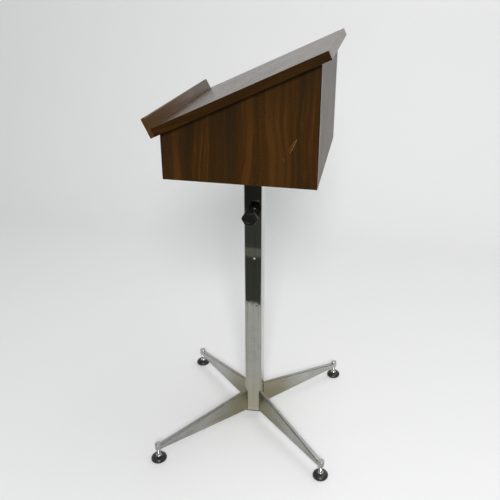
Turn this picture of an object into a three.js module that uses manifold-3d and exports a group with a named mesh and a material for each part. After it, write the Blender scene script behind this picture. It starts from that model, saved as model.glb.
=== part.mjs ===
// Lectern stand: a laminated box head with a sloping reading board, carried by a square
// telescoping column on four folded sheet legs with screw-in levelling glides.
// Millimetres, +Z up. The origin is on the floor under the column's axis.
// +X points to the audience (the tall side of the box), -Y to the clamp knob.

import * as THREE from 'three';
import { mergeVertices } from 'three/addons/utils/BufferGeometryUtils.js';
import Module from 'manifold-3d';

const wasm = await Module();
wasm.setup();

// ---- driving dimensions -------------------------------------------------------------------

const GAP = 0.3; // clearance between pieces that touch
const RUN = 0.1; // radial clearance of a turning or sliding fit

// head: box and board
const BOX_LOW_X = -152; // reader's side of the box
const BOX_HIGH_X = 172; // audience side of the box
const BOX_WIDTH = 424;
const BOX_BOTTOM = 766;
const PANEL = 18; // thickness of every laminated panel
const BOARD_SLOPE = THREE.MathUtils.degToRad(25.9);
const BOARD_LOW_X = -164.4; // low edge of the board's top face
const BOARD_LOW_Z = 876.4;
const BOARD_LENGTH = 387;
const BOARD_WIDTH = 458;
const LEDGE_THICKNESS = 9.5;
const LEDGE_RISE = 25; // height of the book ledge above the board
const LEDGE_ROUND = 2.5;
const CORNER_BLOCK = 22;
const CORNER_BLOCK_HEIGHT = 170;
const DOWEL_DIAMETER = 8;
const DOWEL_LENGTH = 28;

// steel fixings in the head
const BRACKET_LEG = 32;
const BRACKET_WIDTH = 20;
const BRACKET_SHEET = 2;
const BRACKET_PLACES = [78, 292]; // along the board from its low edge
const SCREW_SHANK = 3.8;
const SCREW_HEAD = 7.6;
const SCREW_HEAD_HEIGHT = 2.4;
const SCREW_LENGTH = 13;
const PLATE_SIZE = 130;
const PLATE_THICKNESS = 4.5;
const PLATE_SCREW_PITCH = 104;

// column
const COLUMN_SIZE = 44.45;
const COLUMN_WALL = 1.6;
const COLUMN_ROUND = 3;
const COLUMN_BOTTOM = 26;
const COLUMN_TOP = 712;
const INNER_SIZE = 38.1;
const INNER_WALL = 1.6;
const INNER_ROUND = 2;
const INNER_BOTTOM = 291;
const BUSH_FLANGE = 3;
const BUSH_DEPTH = 28;
const SHOE_HEIGHT = 20;
const SHOE_PLUG = 15;
const CAP_FLANGE = 2;
const CAP_PLUG = 14;
const RIVET_X = 3.5; // offset of the travel-stop rivet from the face's centre line
const RIVET_Z = 504;
const RIVET_HEAD = 6.4;
const RIVET_SHANK = 3.2;

// height clamp, on the -Y face
const CLAMP_Z = 627.5;
const THREAD_DIAMETER = 9.5; // 3/8 in thread, used by the clamp and the glides
const BOSS_DIAMETER = 20;
const BOSS_LENGTH = 9;
const KNOB_FLATS = 35;
const KNOB_STANDOFF = 18; // column face to the knob's hub
const KNOB_HUB_LENGTH = 12;
const KNOB_HEAD_LENGTH = 16;
const KNOB_BEVEL = 2.5;
const HUB_WIDE = 26;
const HUB_NARROW = 20;
const CLAMP_HOLE = 11.2; // in the column's wall
const PRESSURE_PAD_DIAMETER = 8.6;
const PRESSURE_PAD_LENGTH = 4.6;

// base: legs and glides
const GLIDE_RADIUS = 296.4; // column axis to glide axis
const LEG_TOP_AT_COLUMN = 95;
const LEG_TOP_AT_TIP = 44.5;
const LEG_BOTTOM_AT_COLUMN = 27.5;
const LEG_BOTTOM_AT_TIP = 33;
const LEG_WIDTH_AT_COLUMN = 9;
const LEG_WIDTH_AT_TIP = 13;
const LEG_SHEET = 1.5;
const LEG_FOLD = 3.4; // outside radius of the folds
const LEG_START = 24; // inside the column's corner, before the notch
const SOCKET_DIAMETER = 16;
const SOCKET_BOTTOM = 33;
const SOCKET_TOP = 50;
const SOCKET_CLOSURE = 1.8; // thickness of its closed top
const SOCKET_ROUND = 1.6;
const PAD_DIAMETER = 39;
const PAD_HEIGHT = 11;
const PAD_RIM = 3.6; // height of the pad's straight rim
const PAD_CROWN = 17.2; // flat top of its dome
const STEM_TOP = 42.5;
const FLARE_DIAMETER = 15;
const SPIGOT_RADIUS = 3; // lower end of the stem, in the pad
const SPIGOT_BOTTOM = 4.5;

// derived
const HALF_BOX = BOX_WIDTH / 2;
const HALF_COLUMN = COLUMN_SIZE / 2;
const COLUMN_BORE = COLUMN_SIZE - 2 * COLUMN_WALL;
const BORE_ROUND = COLUMN_ROUND - COLUMN_WALL;
const PLATE_TOP = BOX_BOTTOM - GAP;
const PLATE_BOTTOM = PLATE_TOP - PLATE_THICKNESS;
const THREAD_RADIUS = THREAD_DIAMETER / 2;
const DIAGONALS = [
  ['front_left', -1, -1],
  ['front_right', 1, -1],
  ['back_right', 1, 1],
  ['back_left', -1, 1],
];

// ---- materials ----------------------------------------------------------------------------

const finish = (color, roughness, metalness) =>
  new THREE.MeshStandardMaterial({ color, roughness, metalness });

const WALNUT = finish(0x4a2a18, 0.38, 0);
const RAW_WOOD = finish(0xb08d5c, 0.7, 0);
const CHROME = finish(0xb9b8b2, 0.2, 1);
const STEEL = finish(0x8e8f90, 0.4, 1);
const BLACK_PLASTIC = finish(0x141414, 0.45, 0);
const NYLON = finish(0x202020, 0.5, 0);
const BRASS = finish(0xb08a3c, 0.35, 1);
const BLACK_OXIDE = finish(0x262626, 0.45, 1);

// ---- solids -------------------------------------------------------------------------------

// A closed geometry as a solid that can be joined and cut.
function solid(geometry) {
  const bare = geometry.clone();
  bare.deleteAttribute('normal');
  bare.deleteAttribute('uv');
  const merged = mergeVertices(bare, 1e-4);
  return new wasm.Manifold(
    new wasm.Mesh({
      numProp: 3,
      vertProperties: new Float32Array(merged.attributes.position.array),
      triVerts: new Uint32Array(merged.index.array),
    }),
  );
}

// A solid back as a geometry.
function shaped(body) {
  const mesh = body.getMesh();
  const geometry = new THREE.BufferGeometry();
  geometry.setAttribute('position', new THREE.BufferAttribute(new Float32Array(mesh.vertProperties), 3));
  geometry.setIndex(new THREE.BufferAttribute(new Uint32Array(mesh.triVerts), 1));
  geometry.computeVertexNormals();
  return geometry;
}

// The first geometry less all the others.
function cut(geometry, ...tools) {
  return shaped(tools.reduce((body, tool) => body.subtract(solid(tool)), solid(geometry)));
}

// All the geometries as one solid.
function join(geometry, ...others) {
  return shaped(others.reduce((body, other) => body.add(solid(other)), solid(geometry)));
}

// A block between two corners.
function block([x0, y0, z0], [x1, y1, z1]) {
  const geometry = new THREE.BoxGeometry(x1 - x0, y1 - y0, z1 - z0);
  return geometry.translate((x0 + x1) / 2, (y0 + y1) / 2, (z0 + z1) / 2);
}

// A round rod along y or z, from a to b on that axis, centred on (u, v) of the other two.
function rod(axis, radius, a, b, [u, v], segments = 24) {
  const geometry = new THREE.CylinderGeometry(radius, radius, b - a, segments);
  geometry.translate(0, (a + b) / 2, 0);
  if (axis === 'y') return geometry.translate(u, 0, v);
  return geometry.rotateX(Math.PI / 2).translate(u, v, 0);
}

// A turned piece about +Z from [radius, height] points that start and end on the axis.
function turned(points, segments = 24) {
  const profile = points.map(([radius, height]) => new THREE.Vector2(radius, height));
  return new THREE.LatheGeometry(profile, segments).rotateX(Math.PI / 2);
}

// A square outline with round corners.
function roundedSquare(size, radius, Outline = THREE.Shape) {
  const h = size / 2;
  const c = h - radius;
  const outline = new Outline();
  outline.moveTo(h, -c);
  outline.lineTo(h, c);
  outline.absarc(c, c, radius, 0, Math.PI / 2);
  outline.absarc(-c, c, radius, Math.PI / 2, Math.PI);
  outline.absarc(-c, -c, radius, Math.PI, 1.5 * Math.PI);
  outline.absarc(c, -c, radius, 1.5 * Math.PI, 2 * Math.PI);
  return outline;
}

// A prism on a plan outline, from z0 to z1.
function upright(outline, z0, z1) {
  const options = { depth: z1 - z0, bevelEnabled: false, curveSegments: 4 };
  return new THREE.ExtrudeGeometry(outline, options).translate(0, 0, z0);
}

// A square tube, from z0 to z1.
function squareTube(size, wall, round, z0, z1) {
  const outline = roundedSquare(size, round);
  outline.holes.push(roundedSquare(size - 2 * wall, Math.max(round - wall, 0.5), THREE.Path));
  return upright(outline, z0, z1);
}

// A prism on an outline of [x, z] points, from y0 to y1.
function sideways(points, y0, y1) {
  const outline = new THREE.Shape(points.map(([x, z]) => new THREE.Vector2(x, z)));
  const geometry = new THREE.ExtrudeGeometry(outline, { depth: y1 - y0, bevelEnabled: false });
  return geometry.rotateX(Math.PI / 2).translate(0, y1, 0);
}

// A named part; its place is in its geometry or in the group it is added to.
function part(name, geometry, material) {
  const mesh = new THREE.Mesh(geometry, material);
  mesh.name = name;
  return mesh;
}

// ---- head ---------------------------------------------------------------------------------

// Height of the board's underside above a point x on the floor.
function undersideAt(x) {
  return BOARD_LOW_Z + (x - BOARD_LOW_X) * Math.tan(BOARD_SLOPE) - PANEL / Math.cos(BOARD_SLOPE);
}

// The board's own frame: origin at the low edge of its top face, x up the slope, z off the face.
function boardFrame() {
  const frame = new THREE.Group();
  frame.position.set(BOARD_LOW_X, 0, BOARD_LOW_Z);
  frame.rotation.y = -BOARD_SLOPE;
  return frame;
}

// Where each bracket sits: [name, place up the slope, side].
function bracketPlaces() {
  return BRACKET_PLACES.flatMap((place, row) =>
    [-1, 1].map((side) => [`${row ? 'high' : 'low'}_${side < 0 ? 'near' : 'far'}`, place, side]),
  );
}

const BRACKET_FACE = HALF_BOX - PANEL - GAP; // side panels' inner faces, less the gap
const BRACKET_HOLE = BRACKET_LEG * 0.6; // hole centre from the bracket's corner
const PILOT_RADIUS = SCREW_SHANK / 2 + GAP;

function readingBoard() {
  const board = block([0, -BOARD_WIDTH / 2, -PANEL], [BOARD_LENGTH, BOARD_WIDTH / 2, 0]);
  const pilots = bracketPlaces().map(([, place, side]) => {
    const centre = [place, side * (BRACKET_FACE - BRACKET_HOLE)];
    return rod('z', PILOT_RADIUS, -PANEL - 1, -PANEL + SCREW_LENGTH, centre, 12);
  });
  return part('reading_board', cut(board, ...pilots), WALNUT);
}

function bookLedge() {
  const right = -GAP;
  const left = right - LEDGE_THICKNESS;
  const outline = new THREE.Shape();
  outline.moveTo(left, -PANEL);
  outline.lineTo(right, -PANEL);
  outline.lineTo(right, LEDGE_RISE - LEDGE_ROUND);
  outline.absarc(right - LEDGE_ROUND, LEDGE_RISE - LEDGE_ROUND, LEDGE_ROUND, 0, Math.PI / 2);
  outline.absarc(left + LEDGE_ROUND, LEDGE_RISE - LEDGE_ROUND, LEDGE_ROUND, Math.PI / 2, Math.PI);
  const options = { depth: BOARD_WIDTH, bevelEnabled: false, curveSegments: 5 };
  const strip = new THREE.ExtrudeGeometry(outline, options).rotateX(Math.PI / 2);
  return part('book_ledge', strip.translate(0, BOARD_WIDTH / 2, 0), WALNUT);
}

// Steel angle: one leg under the board, the other down the side panel's inner face.
function angleBracket([name, place, side]) {
  const left = place - BRACKET_WIDTH / 2;
  const right = place + BRACKET_WIDTH / 2;
  const top = -PANEL - GAP;
  const face = side * BRACKET_FACE;
  const tip = side * (BRACKET_FACE - BRACKET_LEG);
  const inner = side * (BRACKET_FACE - BRACKET_SHEET);
  const flat = block([left, Math.min(face, tip), top - BRACKET_SHEET], [right, Math.max(face, tip), top]);
  const hung = block([left, Math.min(face, inner), top - BRACKET_LEG], [right, Math.max(face, inner), top]);
  const up = rod('z', PILOT_RADIUS, top - 5, top + 5, [place, side * (BRACKET_FACE - BRACKET_HOLE)], 12);
  const across = rod('y', PILOT_RADIUS, -5, 5, [place, top - BRACKET_HOLE], 12).translate(0, face, 0);
  return part(`angle_bracket_${name}`, cut(join(flat, hung), up, across), STEEL);
}

// Pan-head screw along +Z with its head's seat at z = 0.
function panScrew(length) {
  const shank = SCREW_SHANK / 2;
  const head = SCREW_HEAD / 2;
  const dome = [0.98, 0.85, 0.5].map((share, k) => [head * share, -SCREW_HEAD_HEIGHT * [0.35, 0.75, 1][k]]);
  const tip = [[shank, length - 3], [0.4, length], [0, length]];
  return turned([[0, -SCREW_HEAD_HEIGHT], ...dome.reverse(), [head, 0], [shank, 0], ...tip], 10);
}

// The screw that goes up into the board, and the one that goes out into the side panel.
function bracketScrews([name, place, side]) {
  const seat = -PANEL - GAP - BRACKET_SHEET - GAP;
  const boardScrew = part(`board_screw_${name}`, panScrew(SCREW_LENGTH), STEEL);
  boardScrew.position.set(place, side * (BRACKET_FACE - BRACKET_HOLE), seat);
  const sideScrew = part(`side_screw_${name}`, panScrew(SCREW_LENGTH), STEEL);
  sideScrew.rotation.x = (-side * Math.PI) / 2;
  sideScrew.position.set(place, side * (BRACKET_FACE - BRACKET_SHEET - GAP), -PANEL - GAP - BRACKET_HOLE);
  return [boardScrew, sideScrew];
}

// A point of the board's frame as [x, z] of the model.
function fromBoardFrame(along, off) {
  const c = Math.cos(BOARD_SLOPE);
  const s = Math.sin(BOARD_SLOPE);
  return [BOARD_LOW_X + along * c - off * s, BOARD_LOW_Z + along * s + off * c];
}

// Dowel places between the shelf and the sides, as [name, x, side].
const DOWELS = [-90, 100].flatMap((x, row) =>
  [-1, 1].map((side) => [`${row ? 'back' : 'front'}_${side < 0 ? 'near' : 'far'}`, x, side]),
);
const SHELF_MIDDLE = BOX_BOTTOM + PANEL / 2;
const JOINT_FACE = HALF_BOX - PANEL - GAP / 2; // middle of the gap between shelf and side

function dowelHole(x, side) {
  const reach = DOWEL_LENGTH / 2 + 1;
  const radius = DOWEL_DIAMETER / 2 + GAP;
  return rod('y', radius, side * JOINT_FACE - reach, side * JOINT_FACE + reach, [x, SHELF_MIDDLE], 16);
}

function sidePanel(side) {
  const points = [
    [BOX_LOW_X, BOX_BOTTOM],
    [BOX_HIGH_X, BOX_BOTTOM],
    [BOX_HIGH_X, undersideAt(BOX_HIGH_X) - GAP],
    [BOX_LOW_X, undersideAt(BOX_LOW_X) - GAP],
  ];
  const outer = side * HALF_BOX;
  const inner = side * (HALF_BOX - PANEL);
  const panel = sideways(points, Math.min(outer, inner), Math.max(outer, inner));
  const dowels = DOWELS.filter(([, , s]) => s === side).map(([, x]) => dowelHole(x, side));
  const pilots = bracketPlaces()
    .filter(([, , s]) => s === side)
    .map(([, place]) => {
      const centre = fromBoardFrame(place, -PANEL - GAP - BRACKET_HOLE);
      const reach = SCREW_LENGTH + 1;
      return rod('y', PILOT_RADIUS, inner - reach, inner + reach, centre, 12);
    });
  return part(side < 0 ? 'near_side_panel' : 'far_side_panel', cut(panel, ...dowels, ...pilots), WALNUT);
}

function tallPanel() {
  const inside = BOX_HIGH_X - PANEL;
  const points = [
    [inside, BOX_BOTTOM],
    [BOX_HIGH_X, BOX_BOTTOM],
    [BOX_HIGH_X, undersideAt(BOX_HIGH_X) - GAP],
    [inside, undersideAt(inside) - GAP],
  ];
  const reach = HALF_BOX - PANEL - GAP;
  return part('tall_panel', sideways(points, -reach, reach), WALNUT);
}

function shelfPanel() {
  const reach = HALF_BOX - PANEL - GAP;
  const highX = BOX_HIGH_X - PANEL - GAP;
  const board = block([BOX_LOW_X, -reach, BOX_BOTTOM], [highX, reach, BOX_BOTTOM + PANEL]);
  const pilots = DIAGONALS.map(([, sx, sy]) => {
    const centre = [(sx * PLATE_SCREW_PITCH) / 2, (sy * PLATE_SCREW_PITCH) / 2];
    return rod('z', PILOT_RADIUS, BOX_BOTTOM - 1, BOX_BOTTOM + SCREW_LENGTH, centre, 12);
  });
  const dowels = DOWELS.map(([, x, side]) => dowelHole(x, side));
  return part('shelf_panel', cut(board, ...pilots, ...dowels), WALNUT);
}

function shelfDowel([name, x, side]) {
  const from = side * JOINT_FACE - DOWEL_LENGTH / 2;
  const dowel = rod('y', DOWEL_DIAMETER / 2, from, from + DOWEL_LENGTH, [x, SHELF_MIDDLE], 16);
  return part(`shelf_dowel_${name}`, dowel, RAW_WOOD);
}

// Glue block in the upright corner between the tall panel and a side panel.
function cornerBlock(side) {
  const right = BOX_HIGH_X - PANEL - GAP;
  const face = side * (HALF_BOX - PANEL - GAP);
  const tip = side * (HALF_BOX - PANEL - GAP - CORNER_BLOCK);
  const low = BOX_BOTTOM + PANEL + GAP;
  const corners = [[right, face], [right - CORNER_BLOCK, face], [right, tip]];
  const outline = new THREE.Shape(corners.map(([x, y]) => new THREE.Vector2(x, y)));
  const name = side < 0 ? 'corner_block_near' : 'corner_block_far';
  return part(name, upright(outline, low, low + CORNER_BLOCK_HEIGHT), RAW_WOOD);
}

function mountingPlate() {
  const outline = roundedSquare(PLATE_SIZE, 6);
  DIAGONALS.forEach(([, sx, sy]) => {
    const hole = new THREE.Path();
    hole.absarc((sx * PLATE_SCREW_PITCH) / 2, (sy * PLATE_SCREW_PITCH) / 2, PILOT_RADIUS, 0, 2 * Math.PI);
    outline.holes.push(hole);
  });
  return part('mounting_plate', upright(outline, PLATE_BOTTOM, PLATE_TOP), STEEL);
}

function plateScrew([name, sx, sy]) {
  const screw = part(`plate_screw_${name}`, panScrew(SCREW_LENGTH), STEEL);
  screw.position.set((sx * PLATE_SCREW_PITCH) / 2, (sy * PLATE_SCREW_PITCH) / 2, PLATE_BOTTOM - GAP);
  return screw;
}

function head() {
  const group = new THREE.Group();
  const sloped = boardFrame();
  sloped.add(readingBoard(), bookLedge());
  bracketPlaces().forEach((place) => sloped.add(angleBracket(place), ...bracketScrews(place)));
  group.add(sloped, sidePanel(-1), sidePanel(1), tallPanel(), shelfPanel());
  DOWELS.forEach((place) => group.add(shelfDowel(place)));
  group.add(cornerBlock(-1), cornerBlock(1), mountingPlate());
  DIAGONALS.forEach((place) => group.add(plateScrew(place)));
  return group;
}

// ---- column -------------------------------------------------------------------------------

function outerColumn() {
  const tube = squareTube(COLUMN_SIZE, COLUMN_WALL, COLUMN_ROUND, COLUMN_BOTTOM, COLUMN_TOP);
  const [outside, inside] = [-HALF_COLUMN - 2, -HALF_COLUMN + 4];
  const screwHole = rod('y', CLAMP_HOLE / 2, outside, inside, [0, CLAMP_Z]);
  const rivetHole = rod('y', RIVET_SHANK / 2 + GAP, outside, inside, [RIVET_X, RIVET_Z], 16);
  return part('outer_column', cut(tube, screwHole, rivetHole), CHROME);
}

function innerTube() {
  const tube = squareTube(INNER_SIZE, INNER_WALL, INNER_ROUND, INNER_BOTTOM, PLATE_BOTTOM - GAP);
  return part('inner_tube', tube, CHROME);
}

// Plastic liner: a sleeve inside the column's mouth with a flange on its rim.
function topBush() {
  const low = COLUMN_TOP - BUSH_DEPTH;
  const rim = COLUMN_TOP + GAP;
  const sleeve = upright(roundedSquare(COLUMN_BORE - GAP, BORE_ROUND), low, rim + 1);
  const flange = upright(roundedSquare(COLUMN_SIZE, COLUMN_ROUND), rim, rim + BUSH_FLANGE);
  const opening = upright(roundedSquare(INNER_SIZE + 2 * RUN, INNER_ROUND), low - 5, rim + 10);
  return part('top_bush', cut(join(flange, sleeve), opening), NYLON);
}

// Plastic plug on the inner tube's lower end that runs in the column's bore.
function guideShoe() {
  const top = INNER_BOTTOM - GAP;
  const body = upright(roundedSquare(COLUMN_BORE - 4 * RUN, BORE_ROUND), top - SHOE_HEIGHT, top);
  const plugSize = INNER_SIZE - 2 * INNER_WALL - 2 * GAP;
  const plug = upright(roundedSquare(plugSize, 1), top - 1, top + SHOE_PLUG);
  return part('guide_shoe', join(body, plug), NYLON);
}

function baseCap() {
  const top = COLUMN_BOTTOM - GAP;
  const flange = upright(roundedSquare(COLUMN_SIZE - 1, COLUMN_ROUND), top - CAP_FLANGE, top);
  const plug = upright(roundedSquare(COLUMN_BORE - 2 * GAP, BORE_ROUND), top - 1, top + CAP_PLUG);
  return part('base_cap', join(flange, plug), BLACK_PLASTIC);
}

// Round-head rivet through the column's wall; its tail stops the guide shoe.
function stopRivet() {
  const seat = HALF_COLUMN + GAP;
  const wallInside = HALF_COLUMN - COLUMN_WALL;
  const dome = [0, 0.35, 0.7, 1].map((share) => {
    const angle = (share * Math.PI) / 2;
    return [(RIVET_HEAD / 2) * Math.sin(angle), -seat - 1.3 * Math.cos(angle)];
  });
  const tip = -wallInside + 1.1; // stands into the bore, short of the inner tube
  const tail = [[RIVET_SHANK / 2, -seat], [RIVET_SHANK / 2, tip], [0, tip]];
  const profile = [...dome, ...tail].map(([radius, y]) => new THREE.Vector2(radius, y));
  const rivet = new THREE.LatheGeometry(profile, 16).translate(RIVET_X, 0, RIVET_Z);
  return part('stop_rivet', rivet, CHROME);
}

// Threaded boss welded round the clamp screw's hole.
function clampBoss() {
  const face = -HALF_COLUMN - GAP;
  const body = rod('y', BOSS_DIAMETER / 2, face - BOSS_LENGTH, face, [0, CLAMP_Z], 28);
  const bore = rod('y', THREAD_RADIUS + RUN, face - BOSS_LENGTH - 1, face + 1, [0, CLAMP_Z], 28);
  return part('clamp_boss', cut(body, bore), BLACK_OXIDE);
}

const PRESSURE_PAD_FACE = -INNER_SIZE / 2 - RUN; // where the pad meets the inner tube
const STUD_TIP = PRESSURE_PAD_FACE - PRESSURE_PAD_LENGTH - GAP;
const HUB_FACE = -HALF_COLUMN - KNOB_STANDOFF;
const STUD_END = HUB_FACE - KNOB_HUB_LENGTH - 11;

function pressurePad() {
  const from = PRESSURE_PAD_FACE - PRESSURE_PAD_LENGTH;
  const pad = rod('y', PRESSURE_PAD_DIAMETER / 2, from, PRESSURE_PAD_FACE, [0, CLAMP_Z], 20);
  return part('pressure_pad', pad, BRASS);
}

function clampStud() {
  const profile = [
    [0, STUD_END],
    [THREAD_RADIUS, STUD_END],
    [THREAD_RADIUS, STUD_TIP - 1],
    [THREAD_RADIUS - 1, STUD_TIP],
    [0, STUD_TIP],
  ].map(([radius, y]) => new THREE.Vector2(radius, y));
  return part('clamp_stud', new THREE.LatheGeometry(profile, 28).translate(0, 0, CLAMP_Z), BLACK_OXIDE);
}

// Six-sided knob with bevelled edges on a tapered hub, bored for the stud.
function clampKnob() {
  const corner = KNOB_FLATS / Math.sqrt(3);
  const back = HUB_FACE - KNOB_HUB_LENGTH;
  const front = back - KNOB_HEAD_LENGTH;
  const hexProfile = [
    [0, front],
    [corner - KNOB_BEVEL * 1.6, front],
    [corner, front + KNOB_BEVEL],
    [corner, back - KNOB_BEVEL],
    [corner - KNOB_BEVEL, back],
    [0, back],
  ].map(([radius, y]) => new THREE.Vector2(radius, y));
  const hex = new THREE.LatheGeometry(hexProfile, 6, Math.PI / 2);
  const hubProfile = [
    [0, back - 2],
    [HUB_WIDE / 2, back - 2],
    [HUB_WIDE / 2, back + 2],
    [HUB_NARROW / 2, HUB_FACE - 1],
    [HUB_NARROW / 2 - 1, HUB_FACE],
    [0, HUB_FACE],
  ].map(([radius, y]) => new THREE.Vector2(radius, y));
  const hub = new THREE.LatheGeometry(hubProfile, 30);
  const bore = rod('y', THREAD_RADIUS + GAP, STUD_END - GAP, HUB_FACE + 1, [0, 0], 28);
  return part('clamp_knob', cut(join(hex, hub), bore).translate(0, 0, CLAMP_Z), BLACK_PLASTIC);
}

function column() {
  const group = new THREE.Group();
  group.add(outerColumn(), innerTube(), topBush(), guideShoe(), baseCap(), stopRivet());
  group.add(clampBoss(), pressurePad(), clampStud(), clampKnob());
  return group;
}

// ---- base ---------------------------------------------------------------------------------

// An upside-down channel with rounded folds, as [y, z] points anticlockwise from its lower right.
function channelSection(width, bottom, top) {
  const arc = (radius, from, to, y) =>
    [0, 1, 2, 3, 4].map((k) => {
      const angle = from + ((to - from) * k) / 4;
      return [y + radius * Math.cos(angle), top - LEG_FOLD + radius * Math.sin(angle)];
    });
  const side = width / 2;
  const centre = side - LEG_FOLD;
  const inner = LEG_FOLD - LEG_SHEET;
  return [
    [side, bottom],
    ...arc(LEG_FOLD, 0, Math.PI / 2, centre),
    ...arc(LEG_FOLD, Math.PI / 2, Math.PI, -centre),
    [-side, bottom],
    [-side + LEG_SHEET, bottom],
    ...arc(inner, Math.PI, Math.PI / 2, -centre),
    ...arc(inner, Math.PI / 2, 0, centre),
    [side - LEG_SHEET, bottom],
  ];
}

// A closed solid between two sections of equal length, at x0 and x1.
function loft(x0, first, x1, last) {
  const count = first.length;
  const at = (x, section) => section.flatMap(([y, z]) => [x, y, z]);
  const index = [];
  for (let k = 0; k < count; k += 1) {
    const next = (k + 1) % count;
    index.push(k, next, count + next, k, count + next, count + k);
  }
  const faces = (section) =>
    THREE.ShapeUtils.triangulateShape(section.map(([y, z]) => new THREE.Vector2(y, z)), []);
  faces(first).forEach(([a, b, c]) => index.push(a, c, b));
  faces(last).forEach(([a, b, c]) => index.push(count + a, count + b, count + c));
  const geometry = new THREE.BufferGeometry();
  const positions = [...at(x0, first), ...at(x1, last)];
  geometry.setAttribute('position', new THREE.Float32BufferAttribute(positions, 3));
  geometry.setIndex(index);
  return geometry;
}

// Folded, tapered leg along +X, notched for the column's corner and for its socket.
function legGeometry() {
  const near = channelSection(LEG_WIDTH_AT_COLUMN, LEG_BOTTOM_AT_COLUMN, LEG_TOP_AT_COLUMN);
  const far = channelSection(LEG_WIDTH_AT_TIP, LEG_BOTTOM_AT_TIP, LEG_TOP_AT_TIP);
  const clearance = LEG_TOP_AT_COLUMN + 10;
  const plan = roundedSquare(COLUMN_SIZE + 2 * GAP, COLUMN_ROUND + GAP);
  const corner = upright(plan, 0, clearance).rotateZ(Math.PI / 4);
  const socket = rod('z', SOCKET_DIAMETER / 2 + GAP, 0, clearance, [GLIDE_RADIUS, 0]);
  return cut(loft(LEG_START, near, GLIDE_RADIUS, far), corner, socket);
}

// Upright barrel at the leg's tip, bored from below.
function socketGeometry() {
  const radius = SOCKET_DIAMETER / 2;
  const bore = THREAD_RADIUS + RUN;
  return turned([
    [0, SOCKET_TOP - SOCKET_CLOSURE],
    [bore, SOCKET_TOP - SOCKET_CLOSURE],
    [bore, SOCKET_BOTTOM],
    [radius, SOCKET_BOTTOM],
    [radius, SOCKET_TOP - SOCKET_ROUND],
    [radius - 0.3 * SOCKET_ROUND, SOCKET_TOP - 0.4 * SOCKET_ROUND],
    [radius - SOCKET_ROUND, SOCKET_TOP],
    [0, SOCKET_TOP],
  ]);
}

// Threaded stem with a flared foot that stands in the pad.
function stemGeometry() {
  const flare = FLARE_DIAMETER / 2;
  return turned([
    [0, SPIGOT_BOTTOM],
    [SPIGOT_RADIUS, SPIGOT_BOTTOM],
    [SPIGOT_RADIUS, PAD_HEIGHT + GAP],
    [flare, PAD_HEIGHT + GAP],
    [flare, PAD_HEIGHT + 1.8],
    [(2 * flare + THREAD_RADIUS) / 3, PAD_HEIGHT + 4.2],
    [THREAD_RADIUS, PAD_HEIGHT + 6.4],
    [THREAD_RADIUS, STEM_TOP - 1],
    [THREAD_RADIUS - 1, STEM_TOP],
    [0, STEM_TOP],
  ]);
}

// Domed pad with a flat underside and a socket for the stem.
function padGeometry() {
  const radius = PAD_DIAMETER / 2;
  const crown = PAD_CROWN / 2;
  const rise = PAD_HEIGHT - PAD_RIM;
  const dome = [0, 1, 2, 3, 4].map((k) => {
    const angle = (k * Math.PI) / 8;
    return [crown + (radius - crown) * Math.cos(angle), PAD_RIM + rise * Math.sin(angle)];
  });
  const hole = SPIGOT_RADIUS + GAP;
  const floor = SPIGOT_BOTTOM - GAP;
  const rim = [[0, 0], [radius - 1.8, 0], [radius, 1.6]];
  return turned([...rim, ...dome, [hole, PAD_HEIGHT], [hole, floor], [0, floor]], 28);
}

function base() {
  const group = new THREE.Group();
  const reach = GLIDE_RADIUS / Math.SQRT2;
  DIAGONALS.forEach(([name, sx, sy]) => {
    const leg = part(`leg_${name}`, legGeometry(), CHROME);
    leg.rotation.z = Math.atan2(sy, sx);
    const glide = new THREE.Group();
    glide.position.set(sx * reach, sy * reach, 0);
    glide.add(
      part(`glide_socket_${name}`, socketGeometry(), CHROME),
      part(`glide_stem_${name}`, stemGeometry(), CHROME),
      part(`glide_pad_${name}`, padGeometry(), BLACK_PLASTIC),
    );
    group.add(leg, glide);
  });
  return group;
}

const lectern = new THREE.Group();
lectern.add(head(), column(), base());

export default lectern;
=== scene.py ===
"""The looks of the lectern stand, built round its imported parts.

Everything is in metres in the parts' own frame: +Z up, +X to the audience, -Y to the clamp knob.
"""

import logging
import math
from dataclasses import dataclass, field
from enum import Enum

import bmesh
import bpy
from mathutils import Matrix, Vector


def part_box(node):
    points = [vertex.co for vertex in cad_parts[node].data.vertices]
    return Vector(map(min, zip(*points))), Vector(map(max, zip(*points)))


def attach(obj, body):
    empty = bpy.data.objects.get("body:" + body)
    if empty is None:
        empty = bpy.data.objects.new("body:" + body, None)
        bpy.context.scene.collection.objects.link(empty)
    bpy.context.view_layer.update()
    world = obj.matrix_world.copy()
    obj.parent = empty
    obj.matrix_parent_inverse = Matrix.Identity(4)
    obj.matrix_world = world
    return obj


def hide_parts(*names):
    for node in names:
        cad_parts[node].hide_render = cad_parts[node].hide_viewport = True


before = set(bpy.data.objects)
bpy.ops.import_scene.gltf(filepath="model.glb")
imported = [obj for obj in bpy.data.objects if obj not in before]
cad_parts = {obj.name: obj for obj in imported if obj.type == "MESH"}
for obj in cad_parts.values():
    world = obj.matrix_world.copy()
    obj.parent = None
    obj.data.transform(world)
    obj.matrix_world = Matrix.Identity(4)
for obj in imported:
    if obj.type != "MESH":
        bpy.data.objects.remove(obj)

log = logging.getLogger("lectern")
Point = tuple[float, float]
Colour = tuple[float, float, float]
CORNERS = {
    "front_left": (-1, -1),
    "front_right": (1, -1),
    "back_right": (1, 1),
    "back_left": (-1, 1),
}
QUARTER = math.pi / 2
GAP = 0.0003  # clearance between parts that touch
COLUMN = 0.04445  # the outer tube across its flats
THREAD = 0.00475  # outer radius of the stud and stems
LEAD = 0.0015875  # their rise in one turn


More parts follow.
